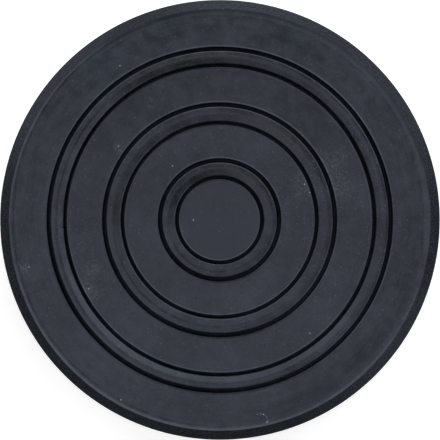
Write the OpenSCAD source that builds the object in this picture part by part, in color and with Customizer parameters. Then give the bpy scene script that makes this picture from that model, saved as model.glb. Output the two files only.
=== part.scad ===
// Round rubber pad for the arm of a car lift: one moulded disc with a bevelled
// top edge and three round-topped grip ribs, each standing between two narrow slots.
// Millimetres, +Z up, origin at the middle of the flat underside.

/* [Disc] */
// Outer diameter of the disc
pad_d = 120; // [118:1:160]
// Height of the flat lands above the underside
pad_h = 20; // [12:0.5:40]
// Radius of the edge round the underside
foot_edge_r = 1; // [0.5:0.1:2]

/* [Top edge] */
// Level width of the bevel round the top
bevel_w = 2.6; // [1:0.1:3]
// Slope of the bevel below level, in degrees
bevel_slope = 40; // [35:1:60]
// Radius of the crisp edges on both sides of the bevel
rim_edge_r = 0.2; // [0.1:0.05:0.3]
// Width of the lip that rises to the bevel, before its foot is hollowed
rim_lip_w = 0.95; // [0.9:0.05:1.5]
// Height of that lip above the lands
rim_lip_h = 0.15; // [0.05:0.01:0.24]
// Radius of the hollow that carries the land up into the lip
rim_hollow_r = 2.8; // [1:0.1:3]
// Width over which the outer land sinks towards the lip
rim_sink_w = 5.25; // [4:0.05:6.5]
// How far it would sink by the foot of the lip, if that weren't hollowed
rim_sink = 0.4; // [0.2:0.02:0.46]

/* [Rib circles] */
// Radius of the innermost rib, at the middle of its width
inner_rib_r = 13.86; // [10:0.02:17]
// Radius of the middle rib
middle_rib_r = 28.88; // [27.5:0.02:31]
// Radius of the outermost rib
outer_rib_r = 44.28; // [42:0.02:45]

/* [Rib section] */
// Width of the innermost rib between its slots
inner_rib_w = 3.6; // [3:0.05:4.5]
// Width of the middle rib
middle_rib_w = 3.95; // [3:0.05:4.5]
// Width of the outermost rib
outer_rib_w = 3.45; // [3:0.05:4.5]
// Height of a rib's crest above the lands
rib_rise = 0.5; // [0.2:0.05:1]
// How far outside the middle of a rib its crest lies
crest_shift = 0.33; // [0:0.01:0.5]
// Radius over a rib's crest
crest_r = 3; // [1:0.1:4]
// Slope of the innermost rib's flank towards the middle of the disc, in degrees
inner_rib_slope = 12.5; // [8:0.5:20]
// The same slope on the middle rib
middle_rib_slope = 13.5; // [8:0.5:20]
// The same slope on the outermost rib
outer_rib_slope = 21.5; // [12:0.5:24]
// Slope of the ribs' flanks towards the rim, in degrees
outward_slope = 5; // [3:0.5:10]
// Radius of a rib's shoulders, where the flanks turn down into the slots
shoulder_r = 0.35; // [0.2:0.05:0.5]
// Radius of the outermost rib's shoulder towards the middle, which is softer
soft_shoulder_r = 0.5; // [0.3:0.05:0.8]

/* [Slots] */
// Width of the slot on a rib's side towards the middle of the disc
inner_slot_w = 0.98; // [0.8:0.02:1.3]
// Width of the slot on its side towards the rim
outer_slot_w = 1.15; // [0.8:0.05:1.3]
// Depth of the slots below the lands
slot_depth = 4.5; // [2.5:0.1:6]
// Radius in the corners of a slot's floor
slot_floor_r = 0.35; // [0.2:0.05:0.38]
// Width of the thin lip that a land rises to at a slot
slot_lip_w = 0.45; // [0.3:0.05:0.8]
// Height of that lip above the land
slot_lip_h = 0.16; // [0.05:0.01:0.25]

/* [Hidden] */
// How finely a preview draws the arcs of the section and the turn of the disc
arc_fn = 48;
turn_fn = 180;
rim_r = pad_d / 2;
rim_top = pad_h + rim_lip_h;
bevel_h = bevel_w * tan(bevel_slope);
slot_floor = pad_h - slot_depth;
// Reach of the cutting shapes past the top of the disc
headroom = 2;

// Unit direction from one point of a section to another
function toward(from, to) = (to - from) / norm(to - from);

// Half of the angle that an outline makes at p, between its neighbours a and b
function half_corner(a, p, b) = acos(toward(p, a) * toward(p, b)) / 2;

// Where a straight side leaves a corner p of radius r, going to the neighbour q
function leave(p, q, r, half) = p + toward(p, q) * r / tan(half);

// Centre of the arc of radius r that rounds the corner p
function arc_centre(a, p, b, r) =
    p + toward([0, 0], toward(p, a) + toward(p, b)) * r / sin(half_corner(a, p, b));

// Closed outline through the given points, with its corners rounded to true arcs.
// A radius of 0 keeps a corner sharp, and a negative one rounds a hollow corner.
module rounded_outline(points, radii) {
    count = len(points);
    function before(i) = points[(i + count - 1) % count];
    function after(i) = points[(i + 1) % count];
    function tip(i) =
        let (half = half_corner(before(i), points[i], after(i)), r = abs(radii[i]))
        [leave(points[i], before(i), r, half), leave(points[i], after(i), r, half)];
    module arc(i) {
        r = abs(radii[i]);
        translate(arc_centre(before(i), points[i], after(i), r))
            circle(r = r, $fn = arc_fn);
    }
    difference() {
        union() {
            polygon([
                for (i = [0 : count - 1])
                    each radii[i] == 0 ? [points[i]] : tip(i)
            ]);
            for (i = [0 : count - 1])
                if (radii[i] > 0)
                    intersection() {
                        polygon([tip(i)[0], points[i], tip(i)[1]]);
                        arc(i);
                    }
        }
        for (i = [0 : count - 1])
            if (radii[i] < 0)
                arc(i);
    }
}

// Section of the plain disc, before the ribs are made
module disc_section() {
    lip_foot = rim_r - bevel_w - rim_lip_w;
    rounded_outline(
        [
            [0, 0],
            [rim_r, 0],
            [rim_r, rim_top - bevel_h],
            [rim_r - bevel_w, rim_top],
            [lip_foot, pad_h - rim_sink],
            [lip_foot - rim_sink_w, pad_h],
            [0, pad_h]
        ],
        [0, foot_edge_r, rim_edge_r, rim_edge_r, -rim_hollow_r, 0, 0]
    );
}

// Section of the slot between the radii r1 and r2
module slot_section(r1, r2)
    rounded_outline(
        [
            [r1, slot_floor],
            [r2, slot_floor],
            [r2, pad_h + headroom],
            [r1, pad_h + headroom]
        ],
        [slot_floor_r, slot_floor_r, 0, 0]
    );

// Section of the land's thin lips on both sides of a rib from r1 to r2, joined over it
module lip_section(r1, r2) {
    inner_edge = r1 - inner_slot_w;
    outer_edge = r2 + outer_slot_w;
    polygon([
        [outer_edge + slot_lip_w, pad_h],
        [outer_edge, pad_h + slot_lip_h],
        [inner_edge, pad_h + slot_lip_h],
        [inner_edge - slot_lip_w, pad_h]
    ]);
}

// Section of the space that a rib stands in: its two slots, and the room between them
module rib_space_section(r1, r2) {
    slot_section(r1 - inner_slot_w, r1);
    slot_section(r2, r2 + outer_slot_w);
    translate([r1, pad_h - slot_depth / 2])
        square([r2 - r1, slot_depth / 2 + headroom]);
}

// Section of one rib: a flank on each side of a rounded crest, on straight sides.
// The flank towards the middle of the disc has its own slope and shoulder.
module rib_section(r1, r2, slope, inner_shoulder_r) {
    crest = (r1 + r2) / 2 + crest_shift;
    // Height at which the two flanks would meet, if the crest weren't rounded
    rounded_off = crest_r * (cos((slope - outward_slope) / 2) / cos((slope + outward_slope) / 2) - 1);
    apex = pad_h + rib_rise + rounded_off;
    rounded_outline(
        [
            [r1, slot_floor],
            [r2, slot_floor],
            [r2, apex - (r2 - crest) * tan(outward_slope)],
            [crest, apex],
            [r1, apex - (crest - r1) * tan(slope)]
        ],
        [0, 0, shoulder_r, crest_r, inner_shoulder_r]
    );
}

// The whole pad: its section, turned once round the middle
module pad() {
    // Each rib's radius, width, slope towards the middle, and shoulder on that side
    ribs = [
        [inner_rib_r, inner_rib_w, inner_rib_slope, shoulder_r],
        [middle_rib_r, middle_rib_w, middle_rib_slope, shoulder_r],
        [outer_rib_r, outer_rib_w, outer_rib_slope, soft_shoulder_r]
    ];
    color([0.22, 0.23, 0.255])
        rotate_extrude($fn = turn_fn) {
            difference() {
                union() {
                    disc_section();
                    for (rib = ribs)
                        lip_section(rib[0] - rib[1] / 2, rib[0] + rib[1] / 2);
                }
                for (rib = ribs)
                    rib_space_section(rib[0] - rib[1] / 2, rib[0] + rib[1] / 2);
            }
            for (rib = ribs)
                rib_section(rib[0] - rib[1] / 2, rib[0] + rib[1] / 2, rib[2], rib[3]);
        }
}

pad();
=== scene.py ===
# %% [markdown]
# # A rubber pad for the arm of a car lift
#
# The real pad is one disc of hard black rubber, pressed in a mould. Its upper face
# carries three round grip ribs, and each rib stands between two narrow slots. A bevel
# runs round the top. Nothing is fixed to it, so the whole object is a single mesh.
#
# The lesson turns one drawn section round the middle of the disc, as a lathe would, and
# then spends its time on the finish: satin rubber, mould marks, fine dust and scuffs.
# Some shade and highlights are painted into the colour as well.

# %% Load the imported model
import math

import bmesh
import bpy
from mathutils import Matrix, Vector, noise


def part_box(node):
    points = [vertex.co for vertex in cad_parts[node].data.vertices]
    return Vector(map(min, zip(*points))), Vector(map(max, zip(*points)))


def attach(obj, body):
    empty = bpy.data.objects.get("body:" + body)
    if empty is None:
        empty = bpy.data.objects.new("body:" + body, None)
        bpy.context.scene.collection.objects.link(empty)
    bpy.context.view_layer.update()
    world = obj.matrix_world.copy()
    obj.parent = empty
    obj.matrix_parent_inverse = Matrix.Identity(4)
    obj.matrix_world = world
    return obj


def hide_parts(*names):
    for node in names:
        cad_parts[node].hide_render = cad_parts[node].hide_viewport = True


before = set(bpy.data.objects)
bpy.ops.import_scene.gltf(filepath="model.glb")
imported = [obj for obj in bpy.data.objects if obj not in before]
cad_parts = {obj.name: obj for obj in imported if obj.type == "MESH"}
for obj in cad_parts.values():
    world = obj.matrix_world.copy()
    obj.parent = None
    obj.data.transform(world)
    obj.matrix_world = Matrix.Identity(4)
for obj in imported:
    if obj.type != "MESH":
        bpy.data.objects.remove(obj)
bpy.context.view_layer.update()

# %% [markdown]
# ## The sizes of the section
#
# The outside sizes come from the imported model, so the mesh can't drift away from it.
# The others are the sizes of the mould, in millimetres: where each rib runs, how wide
# it is, and how its slots are cut. One value names each of them, and the section below
# is drawn from nothing else. Each rib has its radius, its width, its slope towards the
# middle of the disc in degrees, and the radius of its shoulder on that side.

# %% Name the sizes
MM = 0.001
pad_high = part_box("pad")[1]
rim_r = pad_high[0] / MM
rib_top = pad_high[2] / MM

land_h = 20.0
foot_edge_r = 1.0
bevel_w = 2.6
bevel_slope = math.radians(40)
rim_sink_w = 5.25
rim_sink = 0.4
rim_sink_r = 30.0
rim_hollow_r = 2.8
rim_lip_w = 0.95
rim_lip_h = 0.15
rim_edge_r = 0.2

inner_slot_w = 0.98
outer_slot_w = 1.15
slot_depth = 4.5
slot_floor_r = 0.35
slot_lip_w = 0.45
slot_lip_h = 0.16
slot_lip_r = 0.06
slot_lip_foot_r = 0.6

crest_r = 3.0
crest_shift = 0.33
shoulder_r = 0.35
outward_slope = math.radians(5.0)
ribs = {
    "inner": (13.86, 3.6, 12.5, 0.35),
    "middle": (28.88, 3.95, 13.5, 0.35),
    "outer": (44.28, 3.45, 21.5, 0.5),
}
print(f"disc {2 * rim_r:.1f} mm across, ribs {rib_top - land_h:.2f} mm above the lands")

# %% [markdown]
# ## Draw the section as a chain of corners
#
# A lathe-turned shape needs only half of its section. Each corner is one vertex, given
# by its distance from the axis and its height, and an edge joins it to the one before.
# The radius that rounds a corner is kept beside it. It would be possible to place the
# points of every small arc by hand, but a vertex bevel makes them from the corner.

# %% Start the chain
section = bmesh.new()
corners = []


def corner(radius, height, rounding=0.0, segments=3):
    """Add the next corner of the section and join it to the last one."""
    vertex = section.verts.new((radius * MM, 0.0, height * MM))
    if corners:
        section.edges.new((corners[-1][0], vertex))
    corners.append((vertex, rounding * MM, segments))


# %% [markdown]
# ## One rib between its two slots
#
# The land rises to a thin lip at each slot, because the hot rubber creeps up at the edge
# of the mould's blade. Between the slots stands the rib: a flank up to a rounded crest,
# a second flank down to a rounded shoulder, and straight sides below. The apex is where
# the two flanks would meet if the crest weren't rounded.

# %% Draw the ribs and slots
def rib_corners(middle, width, slope, inner_shoulder_r):
    """Add the corners of one rib and its slots, going outwards."""
    half = width / 2
    floor = land_h - slot_depth
    inward_slope = math.radians(slope)
    between = math.cos((inward_slope - outward_slope) / 2)
    lean = between / math.cos((inward_slope + outward_slope) / 2)
    apex = rib_top + crest_r * (lean - 1)
    first = middle - half - inner_slot_w
    last = middle + half + outer_slot_w
    corner(first - slot_lip_w, land_h, slot_lip_foot_r)
    corner(first, land_h + slot_lip_h, slot_lip_r, 4)
    corner(first, floor, slot_floor_r)
    corner(middle - half, floor, slot_floor_r)
    inner_shoulder = apex - (half + crest_shift) * math.tan(inward_slope)
    corner(middle - half, inner_shoulder, inner_shoulder_r, 6)
    corner(middle + crest_shift, apex, crest_r, 8)
    outer_shoulder = apex - (half - crest_shift) * math.tan(outward_slope)
    corner(middle + half, outer_shoulder, shoulder_r, 5)
    corner(middle + half, floor, slot_floor_r)
    corner(last, floor, slot_floor_r)
    corner(last, land_h + slot_lip_h, slot_lip_r, 4)
    corner(last + slot_lip_w, land_h, slot_lip_foot_r)


corner(0.0, land_h)
for sizes in ribs.values():
    rib_corners(*sizes)
print(f"{len(corners)} corners from the middle to the outermost rib")

# %% [markdown]
# ## The rim and the underside
#
# The outer land sinks a little towards the rim and then sweeps up in a hollow to the
# crisp edge of the bevel. Below the bevel the wall is plain, its foot is rounded, and the
# underside is flat, because it rests in the steel cup of the lift arm.

# %% Draw the rim
rim_top = land_h + rim_lip_h
bevel_h = bevel_w * math.tan(bevel_slope)
lip_foot = rim_r - bevel_w - rim_lip_w
corner(lip_foot - rim_sink_w, land_h, rim_sink_r, 6)
corner(lip_foot, land_h - rim_sink, rim_hollow_r, 12)
corner(rim_r - bevel_w, rim_top, rim_edge_r, 5)
corner(rim_r, rim_top - bevel_h, rim_edge_r, 4)
corner(rim_r, 0.0, foot_edge_r, 5)
corner(0.0, 0.0)
print(f"{len(corners)} corners in the section")

# %% [markdown]
# ## Round the corners
#
# A vertex bevel cuts a corner at a set distance along both of its edges and fills in an
# arc. For an arc of radius r that distance is r times the tangent of half the turn.

# %% Bevel every corner that has a radius
for vertex, rounding, segments in corners:
    if rounding == 0.0:
        continue
    one_way, other_way = (edge.other_vert(vertex).co - vertex.co for edge in vertex.link_edges)
    turn = math.pi - one_way.angle(other_way)
    bmesh.ops.bevel(
        section, geom=[vertex], offset=rounding * math.tan(turn / 2), offset_type="OFFSET",
        segments=segments, profile=0.5, affect="VERTICES", material=-1)
print(f"{len(section.verts)} points after the rounding")

# %% [markdown]
# ## Points along the straight stretches
#
# Smooth shading blends the normals of neighbouring faces. A point close to each end of
# a long straight stretch keeps that blend near the arc, so the lands stay flat to the
# eye. The rest of the stretch is divided evenly, to carry the small unevenness below.

# %% Split the long edges
GUARD = 0.04 * MM
LONG = 0.25 * MM
SPACING = 2.0 * MM
for edge in [e for e in section.edges if e.calc_length() > LONG]:
    for end in edge.verts[:]:
        part, _ = bmesh.utils.edge_split(edge, end, GUARD / edge.calc_length())
        edge = max(edge, part, key=lambda e: e.calc_length())
for edge in [e for e in section.edges if e.calc_length() > SPACING]:
    cuts = int(edge.calc_length() / SPACING)
    bmesh.ops.subdivide_edges(section, edges=[edge], cuts=cuts)
print(f"{len(section.verts)} points in the finished section")

# %% [markdown]
# ## Turn the section round the axis
#
# Spin sweeps the chain round the axis. A whole turn in one go would work, but each step
# costs more than the one before, so the first spin sweeps one eighth of the disc and a
# second spin copies that eighth round. Merging the doubles then closes the joins and
# draws each end of the chain together into one pole.

# %% Spin and close the disc
SECTORS = 8
SECTOR_STEPS = 32
sector = math.tau / SECTORS
bmesh.ops.spin(
    section, geom=section.verts[:] + section.edges[:], cent=(0, 0, 0), axis=(0, 0, 1),
    dvec=(0, 0, 0), angle=sector, steps=SECTOR_STEPS, use_merge=False, use_duplicate=False)
bmesh.ops.spin(
    section, geom=section.verts[:] + section.edges[:] + section.faces[:], cent=(0, 0, 0),
    axis=(0, 0, 1), dvec=(0, 0, 0), angle=sector * (SECTORS - 1), steps=SECTORS - 1,
    use_merge=False, use_duplicate=True)
bmesh.ops.remove_doubles(section, verts=section.verts[:], dist=0.001 * MM)
print(f"{len(section.faces)} faces round the axis")

# %% [markdown]
# ## A small nick
#
# A tool has nicked the outermost rib, on its shoulder towards the middle. The mesh is too
# coarse round the ring for so small a dent, so the edges near it are divided first. Then
# the points at the nick are pressed down, most in its middle.

# %% Press in the nick
NICK_PLACE = (-42.9, -2.1)
nick = Vector(NICK_PLACE) * MM
NICK_REACH = Vector((0.6, 0.4)) * MM
NICK_DEPTH = 0.45 * MM
CUT_REACH = 1.3 * MM
CUT_BELOW = 1.0 * MM


def lies_near_nick(place):
    """Say whether a point of the upper face is close to the nick."""
    return (place.xy - nick).length < CUT_REACH and place.z > land_h * MM - CUT_BELOW


near_edges = [e for e in section.edges if all(lies_near_nick(v.co) for v in e.verts)]
bmesh.ops.subdivide_edges(section, edges=near_edges, cuts=3, use_grid_fill=True)
pressed = 0
for vertex in section.verts:
    away = Vector(((vertex.co.x - nick.x) / NICK_REACH.x, (vertex.co.y - nick.y) / NICK_REACH.y))
    if away.length < 1.0 and vertex.co.z > land_h * MM - CUT_BELOW:
        vertex.co.z -= NICK_DEPTH * (1.0 - away.length_squared)
        pressed += 1
print(f"{pressed} points pressed in")

# %% [markdown]
# ## Slightly uneven, as moulded rubber is
#
# Rubber shrinks unevenly as it cools. A slow wave, a few hundredths of a millimetre
# high, lets the sheen drift across the lands. Stronger waves would show as dents. The
# wave is full at the top and fades out at half the height, so the underside stays flat.

# %% Let the upper face wave
WAVE_HEIGHT = 0.05 * MM
WAVE_LENGTH = 14.0 * MM
for vertex in section.verts:
    share = max(0.0, vertex.co.z / (land_h * MM) - 0.5)
    vertex.co.z += 2 * share * WAVE_HEIGHT * noise.noise(vertex.co / WAVE_LENGTH)
bmesh.ops.recalc_face_normals(section, faces=section.faces[:])
open_edges = sum(not edge.is_manifold for edge in section.edges)
print(f"{len(section.faces)} faces, {open_edges} open edges")

# %% Make the object
pad_mesh = bpy.data.meshes.new("rubber_pad")
section.to_mesh(pad_mesh)
section.free()
pad_mesh.shade_smooth()
pad = bpy.data.objects.new("rubber_pad", pad_mesh)
bpy.context.collection.objects.link(pad)
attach(pad, "root")
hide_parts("pad")
print(f"{pad.name} has {len(pad_mesh.polygons)} faces")

# %% [markdown]
# ## Tools for the rubber's nodes
#
# Every pattern below is a small chain of nodes. A few helpers keep the cells short: one
# adds a node and fills its inputs with values or with other nodes' outputs, and one
# rescales a value smoothly from one range to another. All patterns work in millimetres
# on the object's own coordinates, so they stay put when the disc is seen from elsewhere.

# %% Start the material
rubber = bpy.data.materials.new("moulded_rubber")
rubber.use_nodes = True
tree = rubber.node_tree
shader = tree.nodes["Principled BSDF"]


def fill(socket, value):
    """Set one input, from a number or from another node's output."""
    if isinstance(value, bpy.types.NodeSocket):
        tree.links.new(value, socket)
    else:
        socket.default_value = value


def add(kind, inputs=(), output=0, **settings):
    """Add one node, fill the inputs that are named, and give back one output."""
    node = tree.nodes.new("ShaderNode" + kind)
    for name, value in settings.items():
        setattr(node, name, value)
    for place, value in dict(inputs).items():
        fill(node.inputs[place], value)
    return node.outputs[output]


def maths(operation, *values, **settings):
    """Work out one number from one, two or three others."""
    return add("Math", enumerate(values), operation=operation, **settings)


def rescale(value, low, high, to_low=0.0, to_high=1.0):
    """Carry a value from one range to another, easing at both ends."""
    ends = {"Value": value, 1: low, 2: high, 3: to_low, 4: to_high}
    return add("MapRange", ends, interpolation_type="SMOOTHSTEP")


def noise_of(where, grain_size, detail=2.0, roughness=0.5):
    """Soft noise whose lumps are about as many millimetres wide as grain_size says."""
    return add("TexNoise", {
        "Vector": where, "Scale": 1 / grain_size, "Detail": detail, "Roughness": roughness})


def spread(pattern, strength):
    """Turn a noise into a drift of the tone, so much lighter or darker."""
    return rescale(pattern, 0.3, 0.7, -strength, strength)


# %% Find the place on the disc
object_place = add("TexCoord", output=3)
here = add("VectorMath", {0: object_place, "Scale": 1 / MM}, operation="SCALE")
split_nodes = tree.nodes.new("ShaderNodeSeparateXYZ")
fill(split_nodes.inputs[0], here)
east, north, height = split_nodes.outputs
flat_here = add("CombineXYZ", {0: east, 1: north})
out_from_axis = add("VectorMath", {0: flat_here}, output=1, operation="LENGTH")


def distance_to(x, y):
    """Distance from one place on the disc, seen from above."""
    return add("VectorMath", {0: flat_here, 1: (x, y, 0.0)}, output=1, operation="DISTANCE")


def near(x, y, reach):
    """A round patch: 1 at its middle, 0 at its reach from it."""
    return rescale(distance_to(x, y), 0.0, reach, 1.0, 0.0)


def band(radius, reach, share):
    """A ring round the axis: the share at its radius, fading to 0 at its reach from it."""
    away = maths("ABSOLUTE", maths("SUBTRACT", out_from_axis, radius))
    return rescale(away, 0.5 * reach, reach, share, 0.0)


def largest(patterns):
    """The strongest of several patterns at each place."""
    patterns = list(patterns)
    most = patterns[0]
    for pattern in patterns[1:]:
        most = maths("MAXIMUM", most, pattern)
    return most


# %% [markdown]
# ## The tone of the rubber
#
# Carbon black makes the rubber nearly black, but it is never quite even. Three noises
# are added up: broad clouds, a finer mottling, and a grain of half a millimetre. The
# middle of the disc is calmer than the rest. The outer land also has streaks along its
# curve, where it was wiped. Their coordinates go round with the direction from the axis
# and not with an angle, so that the streaks have no seam.

# %% Mottle and streak the tone
CALM_R = 9.0
UNEVEN_R = 13.0
clouds = noise_of(here, 17.0, detail=2.0)
mottle = noise_of(here, 3.2, detail=3.0, roughness=0.6)
grain = noise_of(here, 0.55, detail=2.0, roughness=0.7)
uneven = maths("ADD", spread(mottle, 0.18), spread(grain, 0.15))
uneven = maths("ADD", spread(clouds, 0.17), uneven)
tone = maths("MULTIPLY", uneven, rescale(out_from_axis, CALM_R, UNEVEN_R, 0.4, 1.0))

OUTER_LAND_R = 54.0
OUTER_LAND_START = (46.0, 49.0)
outward = add("VectorMath", {0: flat_here}, operation="NORMALIZE")


def swept(length, width, strength):
    """Streaks along the curve of the rings, on the outer land."""
    around = add("VectorMath", {0: outward, "Scale": OUTER_LAND_R / length}, operation="SCALE")
    across = add("CombineXYZ", {2: maths("DIVIDE", out_from_axis, width)})
    place = add("VectorMath", {0: around, 1: across}, operation="ADD")
    streaks = spread(noise_of(place, 1.0, detail=3.0, roughness=0.6), strength)
    return maths("MULTIPLY", streaks, rescale(out_from_axis, *OUTER_LAND_START))


tone = maths("ADD", tone, swept(6.0, 1.8, 0.12))
tone = maths("ADD", tone, swept(12.0, 0.5, 0.10))
print(f"{len(tree.nodes)} nodes so far")

# %% [markdown]
# ## The lands are darker on one side
#
# Every land of the real pad looks darker towards the left and lighter towards the right,
# the outermost one towards the lower left, and this is painted into the colour as painted
# shade. A dot product with the direction from the axis gives a tone that leans to one side
# and still has no seam. The lower part of the disc is also painted a trace lighter than
# the upper part, as painted light.

# %% Paint shade on one side of each land
shaded_lands = [
    {"radius": 21.3, "reach": 5.5, "side": (-1.0, 0.0, 0.0), "change": -0.08, "level": -0.01},
    {"radius": 36.8, "reach": 6.0, "side": (-1.0, 0.15, 0.0), "change": -0.14, "level": -0.11},
    {"radius": 52.6, "reach": 5.0, "side": (-0.94, -0.34, 0.0), "change": -0.16, "level": -0.05},
]
# painted shade: each land's colour is darker on one side
for land in shaded_lands:
    towards_side = add(
        "VectorMath", {0: outward, 1: land["side"]}, output=1, operation="DOT_PRODUCT")
    shaded = maths("MULTIPLY_ADD", towards_side, land["change"], land["level"])
    tone = maths("MULTIPLY_ADD", band(land["radius"], land["reach"], 1.0), shaded, tone)
# painted light: the colour is a trace lighter towards the lower part of the disc
PAINTED_LIGHT_PER_MM_NORTH = -0.0009
tone = maths("MULTIPLY_ADD", north, PAINTED_LIGHT_PER_MM_NORTH, tone)
print(f"{len(shaded_lands)} lands are worn")

# %% [markdown]
# ## Ribs and lips differ from the lands
#
# The ribs are blotchy and a little darker than the lands, most the innermost one. The thin
# lips of the slots get pale bands, painted highlights, more so on each rib's side towards
# the middle. The crisp edge of the rim gets a painted highlight too.

# %% Darken the ribs and paint highlights on the lips
# the ribs' colour is made darker and blotchier than the lands'
rib_darkening = {"inner": 0.28, "middle": 0.26, "outer": 0.16}
DARKER_PAST_RIB = 0.5
BLOTCHIER = 0.2
on_rib = largest(
    band(ribs[name][0], ribs[name][1] / 2 + DARKER_PAST_RIB, share)
    for name, share in rib_darkening.items())
rib_share = rescale(on_rib, 0.0, 0.1)
tone = maths("MULTIPLY", tone, maths("MULTIPLY_ADD", rib_share, BLOTCHIER, 1.0))
tone = maths("SUBTRACT", tone, on_rib)
LIP_REACH = 0.4
LIP_MIDDLE = 0.25
PAINTED_RIM_HIGHLIGHT = 0.24
# painted highlights: pale bands along the lips of the slots
painted_lip_highlights = {"inner": (0.10, 0.02), "middle": (0.10, 0.02), "outer": (0.10, 0.0)}
lips = []
for name, (towards_middle, towards_rim) in painted_lip_highlights.items():
    middle, width = ribs[name][:2]
    lips.append(band(middle - width / 2 - inner_slot_w - LIP_MIDDLE, LIP_REACH, towards_middle))
    lips.append(band(middle + width / 2 + outer_slot_w + LIP_MIDDLE, LIP_REACH, towards_rim))
tone = maths("ADD", tone, largest(lips))
# a painted highlight along the crisp edge of the rim
tone = maths("ADD", tone, band(rim_r - bevel_w - LIP_REACH, LIP_REACH, PAINTED_RIM_HIGHLIGHT))
print(f"{len(lips)} lips of the slots and the rim are pale")

# %% [markdown]
# ## Its colour
#
# The black has a slate blue cast. A greenish bloom, the haze that wax and sulphur leave
# on old rubber, has come out at the upper left, along the upper rim and on parts of the
# ribs. The ribs at the upper right are a little warmer instead. Each patch is given by
# its middle and its reach in millimetres, and the mottling frays its edge.

# %% Colour it
SLATE_BLACK = (0.0223, 0.0247, 0.0309, 1.0)
GREENISH_BLACK = (0.0196, 0.0257, 0.0316, 1.0)
WARM_BLACK = (0.0258, 0.0243, 0.0290, 1.0)
bloom_places = [(-31.5, 41.4, 13.0), (-15.0, 52.5, 10.0), (21.0, 53.5, 9.0)]
bloom_core = largest(near(*place) for place in bloom_places)
rim_bloom = maths("MULTIPLY", band(56.9, 2.0, 0.8), near(6.0, 57.0, 32.0))
bloom_core = maths("MAXIMUM", bloom_core, rim_bloom)
bloom = rescale(maths("ADD", bloom_core, maths("SUBTRACT", mottle, 0.5)), 0.25, 0.9)
teal_places = [(-11.0, -43.0, 18.0), (12.0, -7.0, 9.0), (-12.0, 7.0, 9.0)]
teal = maths("MULTIPLY", rib_share, largest(near(*place) for place in teal_places))
warm_places = [(7.0, 12.0, 12.0), (16.0, 24.0, 14.0), (-8.0, 43.5, 16.0)]
warm = maths("MULTIPLY", rib_share, largest(near(*place) for place in warm_places))
green = maths("MAXIMUM", bloom, teal)
colour = add("MixRGB", {0: green, 1: SLATE_BLACK, 2: GREENISH_BLACK}, name="rubber_colours")
colour = add("MixRGB", {0: warm, 1: colour, 2: WARM_BLACK})
print(f"{len(bloom_places) + len(teal_places)} greenish places, {len(warm_places)} warm ones")

# %% [markdown]
# ## The tone on the colour
#
# The tone now makes the colour lighter or darker. The side of the disc has a coarser
# grain than the top, which shows as flecks that fade down the wall. The top has none, so
# their strength is 0 here, and the side's copy of this material turns them up further on.

# %% Shade the colour
FLECKS_FROM = 14.0
FLECKS_FULL = 17.5
DARKEST = 0.1
fading_down = rescale(height, FLECKS_FROM, FLECKS_FULL, 0.3, 1.0)
flecks = maths("MULTIPLY", spread(noise_of(here, 0.42, detail=1.0), 1.0), fading_down)
fleck = maths("MULTIPLY", flecks, 0.0, name="fleck_strength")
shade = maths("MAXIMUM", maths("ADD", maths("ADD", tone, 1.0), fleck), DARKEST)
colour = add("VectorMath", {0: colour, "Scale": shade}, operation="SCALE")
print(f"{len(tree.nodes)} nodes so far")

# %% [markdown]
# ## Dust
#
# Fine pale dust sits on the top. It lies along the edges of the slots and on the ribs,
# where hands and tools touch, and thinly in four wide clouds. It is thickest in eight
# small patches, where it has caked to a haze on the lands too. A cell pattern gives one
# point to each cell: the point becomes a speck where the cell's own random number is
# below the density asked for there.

# %% Say where dust gathers
density = tree.nodes.new("ShaderNodeValToRGB")
density.color_ramp.interpolation = "LINEAR"
density_by_radius = {
    0: 0.25, 10: 0.3, 11: 1.0, 17.5: 0.9, 19: 0.5, 25: 0.6, 26: 1.0, 32.5: 1.0, 34: 0.45,
    40: 0.5, 41.5: 1.0, 47.5: 0.8, 49: 0.3, 55: 0.3, 57: 0.9, 60: 1.0}
ramp = density.color_ramp.elements
ramp.remove(ramp[1])
for radius, amount in density_by_radius.items():
    stop = ramp[0] if radius == 0 else ramp.new(radius / rim_r)
    stop.color = (amount, amount, amount, 1.0)
fill(density.inputs[0], maths("DIVIDE", out_from_axis, rim_r))
dust_patches = [
    (22.8, 9.4, 6.0), (31.8, 9.5, 6.0), (29.8, 15.0, 6.0), (-36.2, -19.0, 4.5), (-34.6, -13.4, 3.5),
    (-53.0, -13.1, 2.3), (-18.4, 31.9, 2.2), (-27.4, 19.8, 2.4)]
dust_clouds = [
    (24.0, 10.0, 14.0, 0.25), (-36.0, -14.0, 13.0, 0.2), (40.0, 4.0, 26.0, 0.15),
    (-46.0, -8.0, 24.0, 0.15)]
THICKEST = 6.0
THINNEST = 0.4
thick_dust = largest(near(*patch) for patch in dust_patches)
clouds_of_dust = largest(
    maths("MULTIPLY", near(x, y, reach), share) for x, y, reach, share in dust_clouds)
gathered = maths("MULTIPLY_ADD", largest([thick_dust, clouds_of_dust]), THICKEST, THINNEST)
patchy = rescale(noise_of(here, 5.0, detail=3.0), 0.35, 0.7, 0.5, 1.5)
dustiness = maths("MULTIPLY", maths("MULTIPLY", density.outputs[0], gathered), patchy)
print(f"{len(dust_patches)} patches of dust, {len(dust_clouds)} clouds")


def spots(spacing, size, share):
    """Scattered round spots: spacing and size in millimetres, and how many cells have one."""
    cells = tree.nodes.new("ShaderNodeTexVoronoi")
    fill(cells.inputs["Vector"], here)
    fill(cells.inputs["Scale"], 1 / spacing)
    chance, width, _ = (
        add("SeparateColor", {0: cells.outputs["Color"]}, output=part) for part in range(3))
    wanted = maths("LESS_THAN", chance, share)
    reach = maths("MULTIPLY_ADD", width, size / spacing, 0.4 * size / spacing)
    spot = maths("SUBTRACT", 1.0, maths("DIVIDE", cells.outputs["Distance"], reach))
    return maths("MULTIPLY", wanted, maths("MAXIMUM", spot, 0.0))


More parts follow.
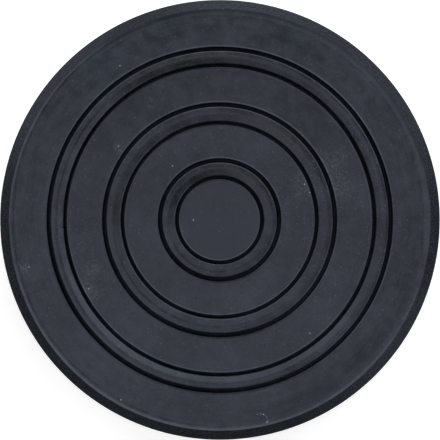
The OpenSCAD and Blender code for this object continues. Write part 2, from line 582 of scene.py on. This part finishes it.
# %% Scatter the dust
fine_dust = spots(0.5, 0.15, maths("MULTIPLY", dustiness, 0.55))
coarse_dust = spots(1.6, 0.24, maths("MULTIPLY", dustiness, 0.12))
haze = rescale(noise_of(here, 0.8, detail=3.0, roughness=0.7), 0.4, 0.75, 0.0, 0.13)
haze = maths("MULTIPLY", haze, maths("MULTIPLY", thick_dust, maths("SUBTRACT", 1.0, rib_share)))
print(f"{len(tree.nodes)} nodes so far")

# %% [markdown]
# ## Single grains and a curl of lint
#
# A dozen grains are larger than the dust, and a short fibre lies near the lower rim.
# They stay where they are on the real pad, so each has its own place. The fibre is part
# of a thin ring, kept only on its upper right side.

# %% Place the grains and the lint
GRAIN_REACH = 0.28
grains = [
    (-12.8, 14.7), (-27.5, 20.1), (23.1, 9.7), (-51.9, -12.8), (-27.1, 42.0), (12.9, -55.0),
    (-7.1, 0.0), (12.0, -52.9), (-35.6, -18.7), (24.5, 7.5), (24.6, -30.8), (-26.9, -49.0)]
big_grains = largest(near(x, y, GRAIN_REACH) for x, y in grains)
LINT_PLACE = Vector((11.1, -54.9))
LINT_R = 2.15
LINT_W = 0.17
LINT_TOWARDS = Vector((0.5, 0.866))
LINT_FROM = 0.8
LINT_WHOLE = 1.4
from_lint_ring = maths("ABSOLUTE", maths("SUBTRACT", distance_to(*LINT_PLACE), LINT_R))
lint = rescale(from_lint_ring, 0.3 * LINT_W, LINT_W, 0.3, 0.0)
along_lint = maths("MULTIPLY_ADD", east, LINT_TOWARDS.x, maths("MULTIPLY", north, LINT_TOWARDS.y))
along_lint = maths("SUBTRACT", along_lint, LINT_PLACE.dot(LINT_TOWARDS))
lint = maths("MULTIPLY", lint, rescale(along_lint, LINT_FROM, LINT_WHOLE))
lint = maths("MULTIPLY", lint, rescale(grain, 0.35, 0.6))
print(f"{len(grains)} grains and a fibre {LINT_W} mm thick")

# %% Put them on the colour
DUST_COLOUR = (0.38, 0.42, 0.47, 1.0)
DUST_COVER = 0.27
GRAIN_COVER = 0.9
fine_cover = maths("MULTIPLY", fine_dust, 0.9)
coarse_cover = maths("MULTIPLY", coarse_dust, 0.7)
dust_amount = maths("MULTIPLY", maths("MAXIMUM", fine_cover, coarse_cover), DUST_COVER)
dirt = largest([dust_amount, haze, maths("MULTIPLY", big_grains, GRAIN_COVER), lint])
dusty_colour = add("MixRGB", {0: dirt, 1: colour, 2: DUST_COLOUR}, name="dust_colour")

# %% [markdown]
# ## Pinholes
#
# Air trapped against the mould leaves pinholes. They are dark dots in the colour and
# small hollows in the relief. The nick in the outermost rib gets painted shade in the colour.

# %% Prick the pinholes
PINHOLE_DARKNESS = 0.6
pinholes = spots(1.1, 0.30, rescale(out_from_axis, CALM_R, UNEVEN_R, 0.0, 0.3))
# painted shade: the colour darkens in the nick
painted_nick_shade = rescale(distance_to(*NICK_PLACE), 0.2, 0.8, 0.6, 0.0)
pinholes_and_nick_shade = maths("MAXIMUM", maths("MULTIPLY", pinholes, PINHOLE_DARKNESS), painted_nick_shade)
pricked_and_nick_shaded = maths("SUBTRACT", 1.0, pinholes_and_nick_shade)
rubber_colour = add("VectorMath", {0: dusty_colour, "Scale": pricked_and_nick_shaded}, operation="SCALE")
fill(shader.inputs["Base Color"], rubber_colour)
print(f"{len(tree.nodes)} nodes so far")

# %% [markdown]
# ## Sheen and surface
#
# The top came off a smooth mould, so it has a soft sheen. Carbon black tints even the
# sheen a little blue. It is broken by the mottling and by dust. Under it lies a very fine
# grain, and low waves where the rubber flowed towards the rim.

# %% Set the sheen and the grain
SMOOTHEST = 0.285
DULLEST = 0.355
SHEEN_LEVEL = 0.47
SHEEN_TINT = (0.72, 0.80, 1.0, 1.0)
RELIEF_HEIGHT = 0.02 * MM
sheen_break = rescale(mottle, 0.3, 0.7, SMOOTHEST, DULLEST)
sheen_break = maths("ADD", sheen_break, maths("MULTIPLY", dirt, 0.4))
sheen_break = maths("MULTIPLY_ADD", maths("MAXIMUM", pinholes, painted_nick_shade), 0.2, sheen_break)
fill(shader.inputs["Roughness"], sheen_break)
fill(shader.inputs["Specular IOR Level"], SHEEN_LEVEL)
fill(shader.inputs["Specular Tint"], SHEEN_TINT)
fine_relief = maths("MULTIPLY", grain, 0.3, name="fine_relief")
relief = maths("MULTIPLY_ADD", noise_of(here, 3.5, detail=2.0), 0.6, fine_relief)
relief = maths("SUBTRACT", relief, pinholes)
bumps = add("Bump", {"Height": relief, "Distance": RELIEF_HEIGHT, "Strength": 1.0})
fill(shader.inputs["Normal"], bumps)
pad_mesh.materials.append(rubber)
print(f"{rubber.name} has {len(tree.nodes)} nodes")

# %% [markdown]
# ## The side of the disc and the slots
#
# The mould's side was never polished, so the bevel and the wall are less glossy and
# coarser than the top, and their colours are painted darker as painted shade. The slots
# are dull, because nothing rubs them; their rubber is painted lighter and a little bluer as
# painted light down in them, and their dust darker as painted shade.
# A second material could be built for each, but both keep the pattern of the top, so
# they are copies of the rubber with less gloss, colours of their own, and their own
# strength of grain and flecks. The faces outside the crisp edge get the first, and those
# down in the slots the second.

# %% Give the side and the slots their own finish and painted colours
def painted_duller_copy(name, gloss, painted_plain_colour, painted_bloom_colour, dust_colour, grain_height, flecks):
    """Copy the rubber with less gloss, colours with painted shade or light, grain and flecks."""
    copy = rubber.copy()
    copy.name = name
    nodes = copy.node_tree.nodes
    nodes["Principled BSDF"].inputs["Specular IOR Level"].default_value = gloss
    nodes["rubber_colours"].inputs[1].default_value = painted_plain_colour
    nodes["rubber_colours"].inputs[2].default_value = painted_bloom_colour
    nodes["dust_colour"].inputs[2].default_value = dust_colour
    nodes["fine_relief"].inputs[1].default_value = grain_height
    nodes["fleck_strength"].inputs[1].default_value = flecks
    pad_mesh.materials.append(copy)


# painted shade: the side's rubber and dust colours are darker than the top's
painted_duller_copy(
    "side_rubber_painted_shade", gloss=0.20, painted_plain_colour=(0.0038, 0.0050, 0.0080, 1.0),
    painted_bloom_colour=(0.0034, 0.0053, 0.0082, 1.0), dust_colour=(0.07, 0.085, 0.12, 1.0),
    grain_height=3.5, flecks=2.8)
# painted light: the slots' rubber colour is lighter than the top's; painted shade: their dust is
# darker
painted_duller_copy(
    "slot_rubber_painted_light_and_shade", gloss=0.08, painted_plain_colour=(0.0255, 0.0345, 0.0530, 1.0),
    painted_bloom_colour=(0.0235, 0.0355, 0.0530, 1.0), dust_colour=(0.10, 0.12, 0.16, 1.0),
    grain_height=0.3, flecks=0.0)
SIDE_PAINTED_FINISH = 1
SLOT_PAINTED_FINISH = 2
SLOT_TOP = (land_h - 0.5) * MM
ABOVE_UNDERSIDE = 0.5 * land_h * MM
edge_r = (rim_r - bevel_w) * MM
outermost_slot = (ribs["outer"][0] + ribs["outer"][1] / 2 + outer_slot_w + 0.1) * MM
for face in pad_mesh.polygons:
    out = face.center.xy.length
    if out > edge_r:
        face.material_index = SIDE_PAINTED_FINISH
    elif out < outermost_slot and ABOVE_UNDERSIDE < face.center.z < SLOT_TOP:
        face.material_index = SLOT_PAINTED_FINISH
finishes = [face.material_index for face in pad_mesh.polygons]
on_side = finishes.count(SIDE_PAINTED_FINISH)
in_slots = finishes.count(SLOT_PAINTED_FINISH)
print(f"{on_side} faces on the side, {in_slots} in the slots")

# %% [markdown]
# ## The floor
#
# The pad lies on a wide round sheet of white paper, whose far edge turns up, so that a low
# view sees white behind the pad too. The paper keeps the soft shadow at the pad's foot. A
# glow of its own makes it look white to the camera and in reflections, without lighting the
# pad any more, and grows where the lamps no longer reach.

# %% Lay the floor
FLOOR_R = 6.0
EDGE_HEIGHT = 0.08
sheet = bmesh.new()
bmesh.ops.create_circle(sheet, cap_ends=True, segments=96, radius=FLOOR_R)
turned_up = bmesh.ops.extrude_edge_only(sheet, edges=sheet.edges[:])["geom"]
edge_points = [part for part in turned_up if isinstance(part, bmesh.types.BMVert)]
bmesh.ops.translate(sheet, verts=edge_points, vec=(0, 0, EDGE_HEIGHT))
floor_mesh = bpy.data.meshes.new("floor")
sheet.to_mesh(floor_mesh)
sheet.free()
floor = bpy.data.objects.new("floor", floor_mesh)
bpy.context.collection.objects.link(floor)
print(f"floor {2 * FLOOR_R:.0f} m across, its edge {EDGE_HEIGHT} m high")

# %% Make the paper
PAPER_COLOUR = (0.8, 0.8, 0.8, 1.0)
GLOW_COLOUR = (1.0, 1.0, 1.0, 1.0)
GLOW_BY_PAD = 0.6
GLOW_FAR_OFF = 1.0
GROWS_FROM = 0.6
GROWS_TO = 2.0
paper = bpy.data.materials.new("white_paper")
paper.use_nodes = True
tree = paper.node_tree
paper_shader = tree.nodes["Principled BSDF"]
fill(paper_shader.inputs["Base Color"], PAPER_COLOUR)
fill(paper_shader.inputs["Roughness"], 1.0)
fill(paper_shader.inputs["Specular IOR Level"], 0.0)
fill(paper_shader.inputs["Emission Color"], GLOW_COLOUR)
rays = tree.nodes.new("ShaderNodeLightPath").outputs
seen = largest([rays["Is Camera Ray"], rays["Is Glossy Ray"], rays["Is Transmission Ray"]])
from_pad = add("VectorMath", {0: add("TexCoord", output=3)}, output=1, operation="LENGTH")
glow = rescale(from_pad, GROWS_FROM, GROWS_TO, GLOW_BY_PAD, GLOW_FAR_OFF)
fill(paper_shader.inputs["Emission Strength"], maths("MULTIPLY", seen, glow))
floor_mesh.materials.append(paper)
print(f"{paper.name} has {len(tree.nodes)} nodes")

# %% [markdown]
# ## The room and the lamps
#
# Black rubber shows its shape by what it mirrors. A flat land mirrors what hangs straight
# above it, a rib's flank what hangs to one side, and the bevel what stands low behind it.
# So the lamps are wide, soft and spread over the sky: small ones overhead, large ones
# lower down, and most light from behind the top edge, which makes the far side of the
# bevel pale and the near side dark. Each lamp is given by its direction, clockwise from
# the top of the picture, by its tilt from straight overhead, by half the angle that it
# fills, and by its share of the light.

# %% Light the pad
ROOM_COLOUR = (0.95, 0.97, 1.0, 1.0)
ROOM_LIGHT = 0.02
world = bpy.data.worlds.new("room")
bpy.context.scene.world = world
world.use_nodes = True
room = world.node_tree.nodes["Background"]
room.inputs["Color"].default_value = ROOM_COLOUR
room.inputs["Strength"].default_value = ROOM_LIGHT


def softbox(name, azimuth, tilt, half_angle, share, distance=1.2):
    """Hang a round lamp that gives a level surface the named share of full light."""
    lamp = bpy.data.lights.new(name, "AREA")
    lamp.shape = "DISK"
    lamp.size = 2 * distance * math.tan(math.radians(half_angle))
    lamp.energy = share * (math.pi * distance) ** 2 / math.cos(math.radians(tilt))
    hung = bpy.data.objects.new(name, lamp)
    bpy.context.collection.objects.link(hung)
    turn = math.radians(azimuth)
    lean = math.radians(tilt)
    aside = math.sin(lean)
    place = Vector((math.sin(turn) * aside, math.cos(turn) * aside, math.cos(lean)))
    hung.location = place * distance
    hung.rotation_euler = place.to_track_quat("Z", "Y").to_euler()


lamps = {
    "overhead": (205, 7, 12, 0.0464),
    "overhead_left": (240, 25, 16, 0.0349),
    "lower_left": (215, 36, 20, 0.0694),
    "left": (285, 38, 22, 0.0850),
    "upper_left": (336, 42, 21, 0.1200),
    "upper_right": (40, 42, 22, 0.1900),
    "right": (90, 42, 18, 0.0447),
    "far_right": (125, 60, 22, 0.1680),
    "low_left": (310, 76, 24, 0.0870),
    "low_upper": (4, 76, 24, 0.1200),
    "low_right": (53, 76, 24, 0.0810),
}
for name, setting in lamps.items():
    softbox(name, *setting)
print(f"{len(lamps)} lamps give {sum(setting[3] for setting in lamps.values()):.2f} of full light")

# %% [markdown]
# ## The camera
#
# The camera looks straight down from 0.8 m, so nearly the whole of the wall is hidden
# behind the rim. It stands slightly off the axis and leans back by about as much, which
# shifts the ribs a little against the outline, as in the photograph. The lens is as long
# as it must be for the disc to fill the picture.

# %% Place the camera
VIEW_HEIGHT = 0.8
HALF_VIEW = 60.0 * MM
OFF_AXIS = (0.0151, 0.00315)
LEAN_BACK = (0.015, -0.00317)
outline_z = (rim_top - bevel_h) * MM
camera_data = bpy.data.cameras.new("camera")
camera_data.sensor_width = 36.0
camera_data.lens = camera_data.sensor_width / 2 * VIEW_HEIGHT / HALF_VIEW
camera_data.clip_end = 100.0
camera = bpy.data.objects.new("camera", camera_data)
bpy.context.collection.objects.link(camera)
camera.location = (*OFF_AXIS, outline_z + VIEW_HEIGHT)
camera.rotation_euler = (
    math.atan2(LEAN_BACK[1], VIEW_HEIGHT), math.atan2(LEAN_BACK[0], VIEW_HEIGHT), 0)
bpy.context.scene.camera = camera
bpy.context.scene.view_settings.view_transform = "Standard"
print(f"lens {camera_data.lens:.0f} mm at {VIEW_HEIGHT} m")
